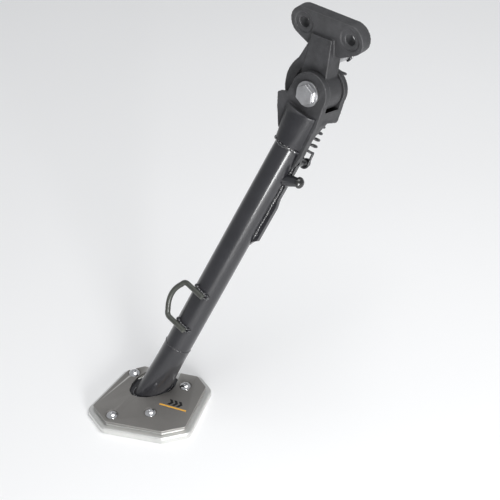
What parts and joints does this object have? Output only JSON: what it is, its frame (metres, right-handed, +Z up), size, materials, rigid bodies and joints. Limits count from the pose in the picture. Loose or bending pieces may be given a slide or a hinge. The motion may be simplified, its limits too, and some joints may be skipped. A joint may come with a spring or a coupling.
{
  "type": "kickstand",
  "caption": "Motorcycle side stand: forked tubular leg hinged on a frame bracket, with a return spring, foot loop, bumper and widened ground plate.",
  "frame": {"origin": "middle of the two frame bolt holes, on the bracket's mounting face", "axes": "+Z up, +X towards the rear of the motorcycle, +Y inboard, out of the mounting face; the stand is shown swung down on the ground"},
  "size_m": [0.1685, 0.2731, 0.4036],
  "materials": {
    "bracket_paint": "satin black paint",
    "bronze": "turned bronze",
    "rubber": "smooth black rubber",
    "zinc_steel": "bright zinc plated",
    "cast_paint": "rough cast surface under thin black paint",
    "gloss_black": "gloss black paint",
    "satin_black": "satin black paint",
    "brushed_grey": "fine brushed, warm grey",
    "bead_silver": "bead blasted and anodised silver",
    "bright_steel": "bright stainless",
    "spring_black": "black coated spring wire"
  },
  "bodies": {
    "bracket": {"frame_bracket": "bracket_paint", "pivot_bush_outer": "bronze", "pivot_bush_inner": "bronze", "dust_seal_outer": "rubber", "dust_seal_inner": "rubber", "spring_post": "zinc_steel"},
    "leg": {"fork": "cast_paint", "pivot_bolt": "zinc_steel", "nut_washer": "zinc_steel", "pivot_nut": "zinc_steel", "leg_tube": "gloss_black", "leg_toe": "gloss_black", "rear_strip": "gloss_black", "foot_loop": "satin_black", "bumper_lug": "gloss_black", "bumper_dome": "rubber", "spring_pin": "gloss_black", "stand_foot": "gloss_black", "top_plate": "brushed_grey", "base_plate": "bead_silver", "plate_screws": "bright_steel"},
    "spring": {"return_spring": "spring_black"}
  },
  "joints": [
    {"name": "leg_pivot", "type": "hinge", "parent": "bracket", "child": "leg", "pos_m": [0, -0.018, -0.058], "axis": [0, -0.9744, 0.225], "range_deg": [0, 100], "deforming": ["return_spring"]},
    {"name": "spring_swing", "type": "hinge", "parent": "bracket", "child": "spring", "pos_m": [-0.003, 0.02487, -0.04121], "axis": [0, -0.9744, 0.225], "range_deg": [0, 80.4]}
  ],
  "couplings": [
    {"joint": "spring_swing", "follows": "leg_pivot", "ratio": 0.799}
  ]
}
